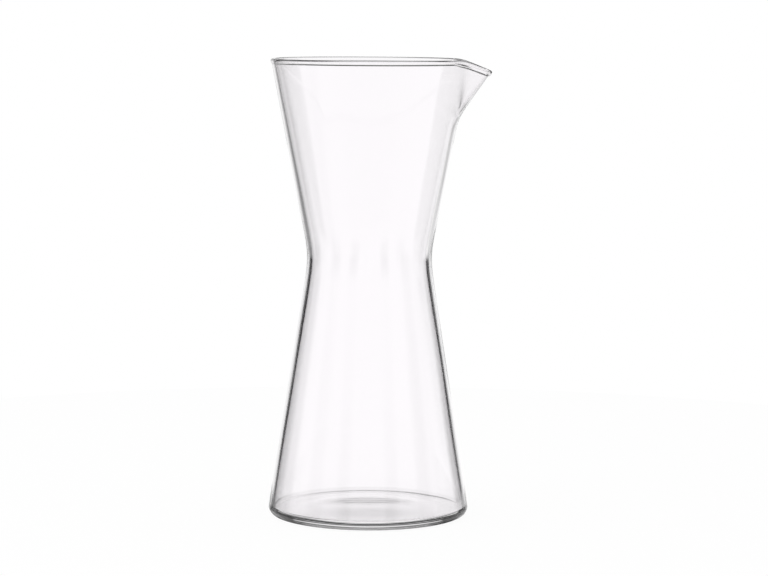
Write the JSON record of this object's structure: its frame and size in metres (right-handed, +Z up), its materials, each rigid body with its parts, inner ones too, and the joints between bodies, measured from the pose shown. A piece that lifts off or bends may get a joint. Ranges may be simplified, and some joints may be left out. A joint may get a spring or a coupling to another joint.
{
  "type": "glass carafe",
  "caption": "Hourglass water carafe of clear blown glass in one piece, open at the top, with a pulled pouring spout in its fire-polished rim.",
  "frame": {"origin": "on the body's axis, on the plane that the foot stands on", "axes": "+Z up along the body's axis, +X from the axis out through the spout, +Y to the left of the spout"},
  "size_m": [0.1061, 0.0964, 0.22],
  "materials": {
    "clear_glass": "clear and colourless, blown, with a fire-polished rim"
  },
  "bodies": {
    "root": {"carafe": "clear_glass"}
  },
  "joints": []
}
